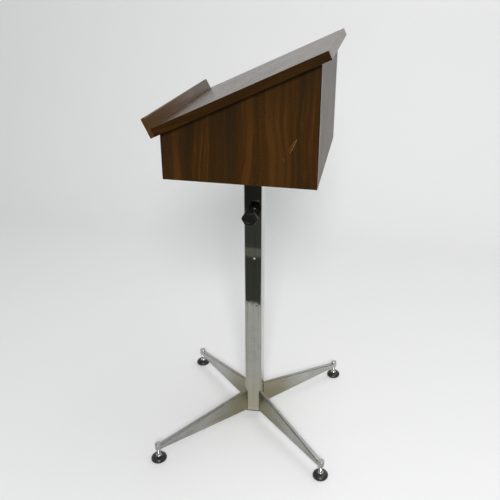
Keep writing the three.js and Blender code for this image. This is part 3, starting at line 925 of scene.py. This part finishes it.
@dataclass
class Head(Assembly):
    """The laminated box with its sloping board, and what fixes it to the mast."""

    low_x: float = -0.1644
    low_z: float = 0.8764
    slope: float = math.radians(25.9)
    panel: float = 0.018
    board: Point = (0.387, 0.458)
    ledge: Point = (0.0095, 0.025)
    ledge_round: float = 0.0027
    half_box: float = 0.212
    bracket_places: tuple = (0.078, 0.292)
    bracket_leg: float = 0.032
    bracket_width: float = 0.020
    bracket_sheet: float = 0.002
    plate_pitch: float = 0.104
    plate_bottom: float = 0.7612
    screw: tuple = (0.0019, 0.0038, 0.0024, 0.013)
    inner: float = 0.0381

    BODY = "mast_and_head"

    def build(self) -> None:
        """Builds and dresses the head."""
        self._panels()
        self._lip()
        self._fixings()
        self._inner_tube()

    def _sloped(self) -> Matrix:
        """The board's own frame: X up the slope from its low edge, Z off its face."""
        turn = Matrix.Rotation(-self.slope, 4, "Y")
        return Matrix.Translation((self.low_x, 0, self.low_z)) @ turn

    def _panels(self) -> None:
        """Dresses the laminated panels and the blocks behind them."""
        scratches = (((0.1290, 0.8720), (0.1130, 0.8370), 0.0011),
                     ((0.1240, 0.8690), (0.1120, 0.8440), 0.0006),
                     ((0.0975, 0.8300), (0.1060, 0.8210), 0.0005))
        rise = math.tan(self.slope)
        # Where the board's underside is, for the painted shade on the panels below it
        board_shade = (self.low_x, self.low_z - self.panel / math.cos(self.slope) - GAP, rise)
        sides = WalnutLaminate(
            "walnut_sides", shift=(0.031, 0.0, 0.0), tone=0.92, scratches=scratches,
            arris_x=(0.172, -0.152), board_shade=board_shade,
        )
        far = WalnutLaminate(
            "walnut_far_side", shift=(0.41, 0.3, 0.2), tone=0.92, arris_x=(0.172, -0.152), board_shade=board_shade
        )
        front = WalnutLaminate(
            "walnut_front", shift=(0.9, 0.1, 0.3), gloss=0.40, sheen=0.36, film=0.015
        )
        shelf = WalnutLaminate("walnut_shelf", Grain.CROSSWISE, shift=(0.2, 0.9, 0.0), gloss=0.34)
        board = WalnutLaminate(
            "walnut_board", Grain.CROSSWISE, self.slope, (0.5, 0.2, 0.7), sheen=0.36, film=0.035
        )
        finishes = {
            "near_side_panel": sides,
            "far_side_panel": far,
            "tall_panel": front,
            "shelf_panel": shelf,
            "reading_board": board,
        }
        for name, finish in finishes.items():
            Former.soften(self.dress(name, finish.material()), 0.0007)
        edging = WalnutLaminate("walnut_edging", Grain.ALONG, self.slope, (0.3, 0.5, 0.1), 0.62)
        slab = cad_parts["reading_board"].data
        slab.materials.append(edging.material())
        for face in slab.polygons:
            if abs(face.normal.y) > 0.9:
                face.material_index = 1
        raw = RawWood("raw_softwood").material()
        for name in ("corner_block_near", "corner_block_far"):
            Former.soften(self.dress(name, raw), 0.0008)
        beech = RawWood("raw_dowel", Grain.CROSSWISE).material()
        for row in ("front", "back"):
            for side in ("near", "far"):
                Former.soften(self.dress(f"shelf_dowel_{row}_{side}", beech), 0.0006)

    def _lip(self) -> None:
        """The book ledge, with its rounded top edges."""
        depth, rise = self.ledge
        right, r = -GAP, self.ledge_round
        left = right - depth
        section = [(left, -self.panel), (right, -self.panel)]
        for centre, start in ((right - r, 0.0), (left + r, QUARTER)):
            section += arc((centre, rise - r), (r, r), start)
        inset = 0.0008
        half = self.board[1] / 2
        middle = Vector((sum(p[0] for p in section), sum(p[1] for p in section))) / len(section)
        rings = []
        for y, share in ((-half, 1.0), (-half + inset, 0.0), (half - inset, 0.0), (half, 1.0)):
            ring = []
            for x, z in section:
                away = middle - Vector((x, z))
                moved = Vector((x, z)) + away.normalized() * inset * share
                ring.append((moved.x, y, moved.y))
            rings.append(ring)
        lip = Former.move(Former.rings("book_lip", rings), self._sloped())
        finish = WalnutLaminate(
            "walnut_ledge", Grain.CROSSWISE, self.slope, (0.11, 0.6, 0.4), 1.1, 0.34, film=0.02
        )
        self.add(lip, self.BODY, finish.material(), "walnut_laminate", "book_ledge")

    def _angle(self, place: float, side: int) -> bpy.types.Object:
        """One bent steel angle in the board's frame.

        Args:
            place: Its middle, up the slope.
            side: -1 near, 1 far.

        Returns:
            The angle.
        """
        leg, sheet, bend = self.bracket_leg, self.bracket_sheet, 0.0035
        outer, inner = (arc((bend, -bend), (r, r), QUARTER) for r in (bend, bend - sheet))
        outline = [(leg, 0.0), *outer, (0.0, -leg), (sheet, -leg), *inner[::-1], (leg, -sheet)]
        face = self.half_box - self.panel - GAP
        half = self.bracket_width / 2
        top = -self.panel - GAP
        rings = [
            [(place + along, side * (face - y), top + z) for y, z in outline]
            for along in (-half, -half + 0.0004, half - 0.0004, half)
        ]
        made = Former.rings("angle", rings)
        hole = self.bracket_leg * 0.6
        up = Matrix.Translation((place, side * (face - hole), top))
        across = Matrix.Translation((place, side * face, top - hole))
        tools = [
            Former.move(Former.drill(0.0024, -0.006, 0.006, 24), at)
            for at in (up, across @ Matrix.Rotation(QUARTER, 4, "X"))
        ]
        return Former.cut(made, *tools)

    def _screw_mesh(self) -> bpy.types.Object:
        """One pan-head screw with a cross recess, its head's seat at z = 0, shank up."""
        shank, head, height, length = self.screw
        top = arc((0, -height * 0.45), (head, -height * 0.55), sweep=QUARTER * 5 / 6, steps=5)
        profile = [(0, -height), *reversed(top), (head, -0.0001), (head - 0.0002, 0), (shank, 0)]
        for k in range(7):
            z = 0.0016 + k * 0.0013
            profile += [(shank * 0.72, z), (shank, z + 0.0005), (shank * 0.72, z + 0.0010)]
        screw = Former.lathe("screw", [*profile, (0.0003, length - 0.0002), (0, length)], 24)
        for turn in (0.0, QUARTER):
            w, reach, deep = 0.00042, 0.0021, -height + 0.0011
            ring = [
                [(x * share, y, z) for x, y in ((-reach, -w), (reach, -w), (reach, w), (-reach, w))]
                for share, z in ((1.0, -height - 0.001), (0.55, deep))
            ]
            blade = Former.move(Former.rings("blade", ring), Matrix.Rotation(turn, 4, "Z"))
            Former.cut(screw, blade)
        return screw

    def _fixings(self) -> None:
        """Angles, screws and the mounting plate."""
        steel = ZincSteel("zinc_steel").material()
        bright = ZincSteel("zinc_screws", (0.55, 0.55, 0.53), 0.28).material()
        pattern = self._screw_mesh()
        sloped = self._sloped()
        face = self.half_box - self.panel - GAP
        hole = self.bracket_leg * 0.6
        under = -self.panel - GAP
        for row, place in zip(("low", "high"), self.bracket_places):
            for side_name, side in (("near", -1), ("far", 1)):
                spot = f"{row}_{side_name}"
                angle = Former.move(self._angle(place, side), sloped)
                angle.name = f"bent_angle_{spot}"
                self.add(angle, self.BODY, steel, "zinc_steel", f"angle_bracket_{spot}")
                seat = Vector((place, side * (face - hole), under - self.bracket_sheet - GAP))
                matrix = sloped @ Matrix.Translation(seat)
                self._screw(pattern, f"board_screw_{spot}", matrix, bright)
                seat = Vector(
                    (place, side * (face - self.bracket_sheet - GAP), under - hole)
                )
                turn = Matrix.Rotation(-side * QUARTER, 4, "X")
                matrix = sloped @ Matrix.Translation(seat) @ turn
                self._screw(pattern, f"side_screw_{spot}", matrix, bright)
        for name, (sx, sy) in CORNERS.items():
            half = self.plate_pitch / 2
            seat = Matrix.Translation((sx * half, sy * half, self.plate_bottom - GAP))
            self._screw(pattern, f"plate_screw_{name}", seat, bright)
        bpy.data.objects.remove(pattern)
        Former.soften(self.dress("mounting_plate", steel), 0.0008)

    def _screw(
        self, pattern: bpy.types.Object, name: str, matrix: Matrix, finish: bpy.types.Material
    ) -> None:
        """Adds one screw that stands for a packed one.

        Args:
            pattern: The screw to copy.
            name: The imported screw's name.
            matrix: Its place.
            finish: Its material.
        """
        data = pattern.data.copy()
        screw = bpy.data.objects.new(f"pan_{name}", data)
        bpy.context.scene.collection.objects.link(screw)
        spin = (len(self.made) * 37 % 90) * math.pi / 180
        Former.move(screw, matrix @ Matrix.Rotation(spin, 4, "Z"))
        self.add(screw, self.BODY, finish, "zinc_steel", name)

    def _inner_tube(self) -> None:
        """The sliding tube, its plate weld and the shoe at its lower end."""
        low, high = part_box("inner_tube")
        bright = WornChrome("inner_chrome", (0.60, 0.60, 0.59), 0.08, 0.12, streaks=0.3).material()
        tube = Tube(self.inner, 0.0016, 0.002, low.z, high.z).build("sliding_tube")
        self.add(tube, self.BODY, bright, "worn_chrome", "inner_tube")
        outline = Former.ring(self.inner + 0.0012, 0.0026)
        weld = Bead([(x, y, high.z - 0.0010) for x, y in outline], 0.0016)
        steel = ZincSteel("weld_metal", (0.34, 0.34, 0.33), 0.42).material()
        self.add(weld.build("plate_weld"), self.BODY, steel, "zinc_steel")
        nylon = MouldedPlastic("black_nylon", (0.016, 0.016, 0.016), 0.5, 0.00003, 0.1).material()
        Former.soften(self.dress("guide_shoe", nylon), 0.0006)


@dataclass
class Tube:
    """A square tube with fine round corners and eased rims."""

    size: float
    wall: float
    round: float
    bottom: float
    top: float
    ease: float = 0.0004

    def build(self, name: str) -> bpy.types.Object:
        """Makes the tube.

        Args:
            name: Its name.

        Returns:
            The tube.
        """
        outer = Former.ring(self.size, self.round, 10)
        slim = Former.ring(self.size - 2 * self.ease, self.round - self.ease, 10)
        bore = Former.ring(self.size - 2 * self.wall, max(self.round - self.wall, 0.0005), 10)
        levels = [
            (slim, self.bottom),
            (outer, self.bottom + self.ease),
            (outer, self.top - self.ease),
            (slim, self.top),
            (bore, self.top),
            (bore, self.bottom),
        ]
        rings = [[(x, y, z) for x, y in ring] for ring, z in levels]
        return Former.rings(name, rings, closed=True, smooth=30.0)


@dataclass
class Bead:
    """A weld bead with soft ripples along a line of points."""

    points: list
    radius: float
    closed: bool = True
    ripple: float = 0.16
    pitch: float = 0.0018

    def build(self, name: str) -> bpy.types.Object:
        """Makes the bead.

        Args:
            name: Its name.

        Returns:
            The bead.
        """
        line = self._even()
        rings = []
        for k, point in enumerate(line):
            before = line[k - 1] if (k or self.closed) else point
            after = line[(k + 1) % len(line)] if (k + 1 < len(line) or self.closed) else point
            along = (after - before).normalized()
            side = along.orthogonal().normalized()
            if rings:
                side = (last - along * last.dot(along)).normalized()
            last = side
            up = along.cross(side)
            swell = 1 + self.ripple * math.sin(2 * math.pi * k * 0.36)
            end = 1.0 if self.closed else min(1.0, 0.35 + 0.3 * min(k, len(line) - 1 - k))
            r = self.radius * swell * end
            rings.append(
                [
                    tuple(point + side * r * math.cos(a) + up * r * math.sin(a))
                    for a in [j * math.pi / 5 for j in range(10)]
                ]
            )
        return Former.rings(name, rings, closed=self.closed, smooth=60.0)

    def _even(self) -> list[Vector]:
        """The line's points at an even pitch."""
        corners = [Vector(p) for p in self.points]
        if self.closed:
            corners.append(corners[0])
        step = self.pitch * 0.36
        line, left = [], 0.0
        for a, b in zip(corners, corners[1:]):
            length = (b - a).length
            at = left
            while at < length:
                line.append(a.lerp(b, at / length))
                at += step
            left = at - length
        return line


# ---- column ----


@dataclass
class Column(Assembly):
    """The outer tube with its bush, cap, rivet and clamp."""

    wall: float = 0.0016
    clamp_z: float = 0.6275
    hole: float = 0.0056
    rivet: tuple = (0.0035, 0.504)

    def build(self) -> None:
        """Builds and dresses the column."""
        self._tube()
        self._rivet()
        self._clamp()
        nylon = MouldedPlastic("bush_nylon", (0.016, 0.016, 0.016), 0.46, 0.00003, 0.3).material()
        Former.soften(self.dress("top_bush", nylon), 0.0006)
        cap = MouldedPlastic("cap_plastic", dust=0.0).material()
        Former.soften(self.dress("base_cap", cap), 0.0005)
        brass = TurnedBrass("turned_brass").material()
        Former.soften(self.dress("pressure_pad", brass), 0.0004)

    def _towards(self, x: float, z: float) -> Matrix:
        """A frame at the near face's height z whose Z axis points to -Y, with y = 0 at z = 0."""
        return Matrix.Translation((x, 0, z)) @ Matrix.Rotation(QUARTER, 4, "X")

    def _tube(self) -> None:
        """The outer tube with its two holes."""
        low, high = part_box("outer_column")
        tube = Tube(COLUMN, self.wall, 0.003, low.z, high.z).build("column_tube")
        half = COLUMN / 2
        tools = []
        for (x, z), radius in (((0.0, self.clamp_z), self.hole), (self.rivet, 0.0019)):
            drill = Former.drill(radius, half - 0.004, half + 0.002, 40)
            tools.append(Former.move(drill, self._towards(x, z)))
        Former.cut(tube, *tools)
        chrome = WornChrome(
            "column_chrome", rough=0.035, haze=0.08, stain=0.75, stain_tint=(0.47, 0.44, 0.32),
            streaks=0.55, ripple=0.00020, residue=(0.508, 0.535),
        )
        self.add(tube, "base", chrome.material(), "worn_chrome", "outer_column")

    def _rivet(self) -> None:
        """The travel-stop rivet."""
        seat = COLUMN / 2 + GAP
        dome = arc((0, seat), (0.0032, 0.0013))
        tail = COLUMN / 2 - self.wall - 0.0011
        shank = [(0, tail), (0.0014, tail), (0.0016, tail + 0.0002), (0.0016, seat)]
        profile = [*shank, (0.0030, seat), *dome[:-1], (0, dome[-1][1])]
        rivet = Former.lathe("stop_rivet_head", profile, 36)
        Former.move(rivet, self._towards(*self.rivet))
        bright = WornChrome("rivet_chrome", (0.86, 0.86, 0.84), 0.07, 0.05, streaks=0.0).material()
        self.add(rivet, "base", bright, "worn_chrome", "stop_rivet")

    def _clamp(self) -> None:
        """Boss, threaded stud and six-sided knob."""
        seat = COLUMN / 2 + GAP
        r, t = 0.010, THREAD + 0.0001
        profile = [
            (t, seat), (r, seat), (r, seat + 0.0082), (r - 0.0008, seat + 0.009),
            (t + 0.0006, seat + 0.009), (t, seat + 0.0084),
        ]
        rings = [loop(radius, z, 48) for radius, z in profile]
        turn = self._towards(0.0, self.clamp_z)
        boss = Former.move(Former.rings("welded_boss", rings, closed=True), turn)
        tint, bloom = (0.020, 0.020, 0.019), (0.045, 0.044, 0.040)
        oxide = ZincSteel("black_oxide", tint, 0.42, bloom).material()
        self.add(boss, "base", oxide, "black_oxide_steel", "clamp_boss")
        line = loop(r + 0.0003, seat + 0.0001, 40)
        weld = Former.move(Bead(line, 0.0009).build("boss_weld"), turn)
        self.add(weld, "base", oxide, "black_oxide_steel")
        low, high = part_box("clamp_stud")
        tip, end = -high.y, -low.y
        lower = [(0.0030, tip), (0.0038, tip + 0.0010)]
        upper = [(0.00475, end - 0.0012), (0.0040, end - 0.0002)]
        ends = (tip + 0.0012, end - 0.0014)
        stud = Former.threaded("threaded_stud", ends, [lower, upper], 32)
        Former.move(stud, turn)
        self.add(stud, "clamp_screw", oxide, "black_oxide_steel", "clamp_stud")
        self._knob(turn)

    def _knob(self, turn: Matrix) -> None:
        """The moulded knob: tapered hub, bevelled six-sided head and a dished face.

        Args:
            turn: The frame whose Z axis points away from the column.
        """
        low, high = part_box("clamp_knob")
        hub_face, front = -high.y, -low.y
        back = hub_face + 0.012
        corner = (high.z - low.z) / math.sqrt(3)

        sixth = math.pi / 3
        corners = [sixth * (k + 1) for k in range(6)]

        def hexagon(radius: float, z: float, round_share: float = 0.20) -> list:
            """A hexagon ring with rounded corners at a height."""
            points = []
            inner = radius * (1 - round_share)
            fillet = radius * round_share * math.cos(math.pi / 6)
            for a in corners:
                centre = (inner * math.cos(a), inner * math.sin(a))
                points += arc(centre, (fillet, fillet), a - sixth / 2, sixth, 6)
            return [(x, y, z) for x, y in points]

        def circle(radius: float, z: float) -> list:
            """A ring of as many points as the hexagon's, in step with it."""
            angles = [a + (j - 3) / 7 * sixth for a in corners for j in range(7)]
            return [(radius * math.cos(a), radius * math.sin(a), z) for a in angles]

        rings = [
            circle(THREAD + 0.0003, back + 0.006),
            circle(THREAD + 0.0003, hub_face + 0.0004),
            circle(THREAD + 0.0008, hub_face),
            circle(0.0088, hub_face),
            circle(0.0097, hub_face + 0.0008),
            circle(0.0126, back - 0.0012),
            circle(0.0138, back + 0.0001),
            hexagon(corner - 0.0030, back, 0.30),
            hexagon(corner - 0.0011, back + 0.0010, 0.24),
            hexagon(corner, back + 0.0032),
            hexagon(corner, front - 0.0042),
            hexagon(corner - 0.0009, front - 0.0026, 0.23),
            hexagon(corner - 0.0028, front - 0.0007, 0.28),
            hexagon(corner - 0.0052, front, 0.34),
            circle(0.0108, front - 0.0001),
            circle(0.0100, front - 0.0008),
            circle(0.0060, front - 0.0012),
            circle(0.0020, front - 0.0013),
        ]
        knob = Former.move(Former.rings("hand_knob", rings, smooth=38.0), turn)
        plastic = MouldedPlastic(
            "knob_plastic", (0.0050, 0.0052, 0.0046), 0.46, 0.00003, dust=0.06, sheen=0.18
        )
        self.add(knob, "clamp_screw", plastic.material(), "black_plastic", "clamp_knob")


# ---- base ----


@dataclass
class Base(Assembly):
    """Four folded legs with welded sockets, threaded stems and domed pads."""

    reach: float = 0.2964
    start: float = 0.024
    tops: Point = (0.095, 0.0445)
    bottoms: Point = (0.0275, 0.033)
    widths: Point = (0.009, 0.013)
    sheet: float = 0.0015
    fold: float = 0.0034
    socket: tuple = (0.008, 0.033, 0.050)
    pad: tuple = (0.0195, 0.011)

    def build(self) -> None:
        """Builds and dresses the base."""
        chrome = WornChrome(
            "leg_chrome", (0.46, 0.465, 0.44), 0.17, 0.26, 0.95, streaks=0.8, ripple=0.00004,
            spokes=True,
        ).material()
        barrel = WornChrome(
            "socket_chrome", rough=0.16, haze=0.2, streaks=0.3, ripple=0.00003
        ).material()
        thread = WornChrome(
            "stem_chrome", (0.60, 0.60, 0.58), 0.14, 0.12, ripple=0.00002
        ).material()
        plastic = MouldedPlastic("pad_plastic", (0.0095, 0.0095, 0.0100), 0.30, 0.000015, 0.3)
        black = plastic.material()
        for name, (sx, sy) in CORNERS.items():
            turn = Matrix.Rotation(math.atan2(sy, sx), 4, "Z")
            leg = Former.move(self._leg(f"folded_leg_{name}"), turn)
            self.add(leg, "base", chrome, "worn_chrome", f"leg_{name}")
            weld = Former.move(self._hub_weld(f"hub_weld_{name}"), turn)
            self.add(weld, "base", chrome, "worn_chrome")
            at = turn @ Matrix.Translation((self.reach, 0, 0))
            socket = Former.move(self._socket(f"welded_socket_{name}"), at)
            self.add(socket, "base", barrel, "worn_chrome", f"glide_socket_{name}")
            stem = Former.move(self._stem(f"threaded_stem_{name}"), at)
            self.add(stem, f"glide_stem_{name}", thread, "worn_chrome", f"glide_stem_{name}")
            pad = Former.move(self._pad(f"foot_pad_{name}"), at)
            self.add(pad, f"glide_pad_{name}", black, "black_plastic", f"glide_pad_{name}")

    def _at(self, x: float) -> tuple[float, float, float]:
        """Half width, bottom and top of the leg at x."""
        t = (x - self.start) / (self.reach - self.start)
        pick = [a + (b - a) * t for a, b in (self.widths, self.bottoms, self.tops)]
        return pick[0] / 2, pick[1], pick[2]

    def _section(self, x: float) -> list[Point]:
        """The leg's folded section at x, as (y, z) points, with a rounded lower rim."""
        side, bottom, top = self._at(x)
        fold, inner = self.fold, self.fold - self.sheet
        right, left = (side - fold, top - fold), (fold - side, top - fold)
        mid = bottom + self.sheet / 2
        points = [(side, mid), *arc(right, (fold, fold)), *arc(left, (fold, fold), QUARTER)]
        points += [(-side, mid), (-side + self.sheet / 2, bottom), (-side + self.sheet, mid)]
        points += arc(left, (inner, inner), math.pi, -QUARTER)
        points += arc(right, (inner, inner), QUARTER, -QUARTER)
        return [*points, (side - self.sheet, mid), (side - self.sheet / 2, bottom)]

    def _hub_x(self, y: float) -> float:
        """Where the leg meets the column's corner, at y off its middle."""
        diagonal = COLUMN / math.sqrt(2)
        return min(diagonal + 0.0004 - abs(y), diagonal - 0.0008)

    def _leg(self, name: str) -> bpy.types.Object:
        """One leg along +X, fitted to the column's corner and round its socket.

        Args:
            name: The leg's name.

        Returns:
            The leg.
        """
        clear = self.socket[0] + 0.0003
        rings = []
        for share in (0.0, 0.02, 0.15, 0.35, 0.55, 0.75, 0.9, 0.98, 1.0):
            middle = self.start + 0.005 + share * (self.reach - self.start - 0.012)
            ring = []
            for index, (y, _) in enumerate(self._section(middle)):
                first = self._hub_x(y)
                last = self.reach - math.sqrt(max(clear * clear - y * y, 0.0))
                x = first + (last - first) * share
                point = self._section(x)[index]
                ring.append((x, point[0], point[1]))
            rings.append(ring)
        return Former.rings(name, rings, smooth=32.0)

    def _hub_weld(self, name: str) -> bpy.types.Object:
        """The weld bead where a leg meets the column.

        Args:
            name: Its name.

        Returns:
            The bead.
        """
        side, bottom, top = self._at(0.028)
        r = self.fold
        line = [(side, bottom + 0.001), (side, top - r)]
        line += arc((side - r, top - r), (r, r), steps=4)
        line += arc((r - side, top - r), (r, r), QUARTER, steps=4)
        line += [(-side, bottom + 0.001)]
        points = [(self._hub_x(y) + 0.0002, y, z) for y, z in line]
        return Bead(points, 0.0010, closed=False, ripple=0.10).build(name)

    def _socket(self, name: str) -> bpy.types.Object:
        """The barrel at a leg's tip, bored from below, with a domed top.

        Args:
            name: Its name.

        Returns:
            The barrel.
        """
        r, low, high = self.socket
        bore = THREAD + 0.0001
        crown = arc((r - 0.0016, high - 0.0016), (0.0016, 0.0016), steps=6)
        profile = [
            (0, high - 0.0018), (bore, high - 0.0018), (bore, low + 0.0006), (bore + 0.0006, low),
            (r - 0.0006, low), (r, low + 0.0006), *crown, (r * 0.4, high), (0, high),
        ]
        return Former.lathe(name, profile, 48)

    def _stem(self, name: str) -> bpy.types.Object:
        """The threaded stem with its flared foot.

        Args:
            name: Its name.

        Returns:
            The stem.
        """
        height = self.pad[1]
        flare = [(0.0030, 0.0045), (0.0030, height + 0.0003), (0.0073, height + 0.0003)]
        flare += [(0.0075, height + 0.0006), (0.0075, height + 0.0016)]
        flare += arc((0.0073, height + 0.0064), (0.00255, 0.0045), -QUARTER, -QUARTER, 6)
        top = [(0.0043, 0.0418), (0.0038, 0.0425)]
        ends = (height + 0.0072, 0.0412)
        return Former.threaded(name, ends, [flare, top], 36)

    def _pad(self, name: str) -> bpy.types.Object:
        """The moulded pad: domed, with a bead round its rim and a socket for the stem.

        Args:
            name: Its name.

        Returns:
            The pad.
        """
        r, height = self.pad
        rim, crown = 0.0036, 0.0086
        dome = arc((crown, rim), (r - crown, height - rim), steps=12)
        profile = [
            (0, 0.0002), (r - 0.0060, 0.0002), (r - 0.0054, 0), (r - 0.0020, 0),
            (r - 0.0006, 0.0005), (r, 0.0016), *dome, (0.0037, height),
            (0.0033, height - 0.0004), (0.0033, 0.0042), (0, 0.0042),
        ]
        return Former.lathe(name, profile, 72)


# ---- studio ----


@dataclass
class Studio:
    """Camera, lights, pale floor and what the chrome reflects."""

    focal: float = 609.52
    pitch: float = math.radians(23.0962)
    roll: float = math.radians(2.4556)
    yaw: float = math.radians(-4.841)
    eye: Colour = (0.2750, -1.3800, 1.1893)
    centre: Point = (317.77, 225.0)
    frame_side: float = 500.0

    def build(self) -> None:
        """Sets the studio up."""
        bpy.context.scene.view_settings.view_transform = "Standard"
        bpy.context.scene.view_settings.look = "None"
        self._camera()
        self._backdrop()
        self._cards()
        self._lights()
        self._air()

    def _camera(self) -> None:
        """The camera, level with the board and looking down."""
        p, r, y = self.pitch, self.roll, self.yaw
        forward = Vector((math.sin(y) * math.cos(p), math.cos(y) * math.cos(p), -math.sin(p)))
        right = Vector((math.cos(y), -math.sin(y), 0))
        up = right.cross(forward)
        across = right * math.cos(r) + up * math.sin(r)
        above = -right * math.sin(r) + up * math.cos(r)
        data = bpy.data.cameras.new("camera")
        data.sensor_width = 36.0
        data.lens = self.focal * data.sensor_width / self.frame_side
        data.shift_x = (0.5 * self.frame_side - self.centre[0]) / self.frame_side
        data.shift_y = (self.centre[1] - 0.5 * self.frame_side) / self.frame_side
        data.clip_start, data.clip_end = 0.05, 60.0
        camera = bpy.data.objects.new("camera", data)
        bpy.context.scene.collection.objects.link(camera)
        matrix = Matrix((across, above, -forward)).transposed().to_4x4()
        camera.matrix_world = Matrix.Translation(self.eye) @ matrix
        bpy.context.scene.camera = camera

    def _backdrop(self) -> None:
        """A seamless pale sweep: floor, cove and wall behind."""
        wide, near, back, cove, high = 7.0, -7.0, 2.1, 0.9, 5.5
        bend = arc((back - cove, cove), (cove, cove), -QUARTER, steps=24)
        line = [(near, 0.0), *bend, (back, high)]
        mesh = bmesh.new()
        rows = [[mesh.verts.new((x, y, z - 0.0002)) for x in (-wide, wide)] for y, z in line]
        for (a, b), (c, d) in zip(rows, rows[1:]):
            mesh.faces.new((a, b, d, c))
        sweep = Former.object("backdrop_floor", mesh, 80.0)
        sweep.data.materials.append(PaleSheet("pale_sheet").material())

    def _card(self, name: str, corners: list, level: float, tint: Colour) -> None:
        """A glowing card that only mirrors see.

        Args:
            name: Its name.
            corners: Its four corners.
            level: Its brightness.
            tint: Its colour.
        """
        mesh = bmesh.new()
        mesh.faces.new([mesh.verts.new(c) for c in corners])
        card = Former.object(name, mesh)
        s = Shader(f"{name}_glow")
        card.data.materials.append(
            s.finish(
                Base_Color=(0.0, 0.0, 0.0),
                Specular_IOR_Level=0.0,
                Emission_Color=tint,
                Emission_Strength=level,
            )
        )
        for sense in ("camera", "diffuse", "shadow", "transmission"):
            setattr(card, f"visible_{sense}", False)

    def _cards(self) -> None:
        """What the chrome mirrors in front of the stand: grey floor, then a dark room."""
        wide, lift, green, grey = 2.2, 0.004, (0.95, 1.0, 0.85), (0.99, 1.0, 0.965)
        strips = [
            ("grey_hub_card", -0.06, -0.24, 0.62),
            ("grey_leg_card", -0.24, -0.44, 0.60),
            ("grey_near_card", -0.44, -0.635, 0.58),
            ("dark_near_card", -0.635, -1.03, 0.062),
            ("dim_strip_card", -1.03, -1.13, 0.088),
            ("dark_middle_card", -1.13, -1.50, 0.062),
            ("dark_far_card", -1.50, -6.0, 0.024),
        ]
        for name, near, far, level in strips:
            outline = [(-wide, near), (-wide, far), (wide, far), (wide, near)]
            tint = grey if name.startswith("grey") else green
            self._card(name, [(x, y, lift) for x, y in outline], level, tint)
        self._card(
            "dark_room_card",
            [(-wide, -6.0, 0.0), (-wide, -6.0, 5.0), (wide, -6.0, 5.0), (wide, -6.0, 0.0)],
            0.035,
            green,
        )

    def _lamp(self, name: str, at: Colour, aim: Colour, size: float, power: float) -> None:
        """A soft square lamp.

        Args:
            name: Its name.
            at: Its place.
            aim: What it points to.
            size: Its side.
            power: Watts.
        """
        data = bpy.data.lights.new(name, "AREA")
        data.shape, data.size, data.energy = "SQUARE", size, power
        lamp = bpy.data.objects.new(name, data)
        lamp.visible_camera = False
        bpy.context.scene.collection.objects.link(lamp)
        lamp.location = at
        lamp.rotation_euler = (Vector(aim) - Vector(at)).to_track_quat("-Z", "Y").to_euler()

    def _lights(self) -> None:
        """A soft key from high in front and a weak wide light from above."""
        self._lamp("key_light", (0.70, -3.2, 2.65), (0.20, 0.9, 0.2), 0.9, 128.0)
        self._lamp("high_light", (1.0, 0.5, 3.4), (0.2, 0.4, 0.0), 2.2, 26.0)

    def _air(self) -> None:
        """An even pale world."""
        world = bpy.data.worlds.new("studio_air")
        bpy.context.scene.world = world
        world.use_nodes = True
        sky = world.node_tree.nodes["Background"]
        sky.inputs["Color"].default_value = (0.96, 0.98, 1.0, 1.0)
        sky.inputs["Strength"].default_value = 0.385


def main() -> None:
    """Builds the lectern's looks and its studio."""
    logging.basicConfig(level=logging.INFO, format="%(message)s")
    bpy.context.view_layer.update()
    for assembly in (Base(), Column(), Head()):
        assembly.build()
        assembly.report()
    Studio().build()


if __name__ == "__main__":
    main()
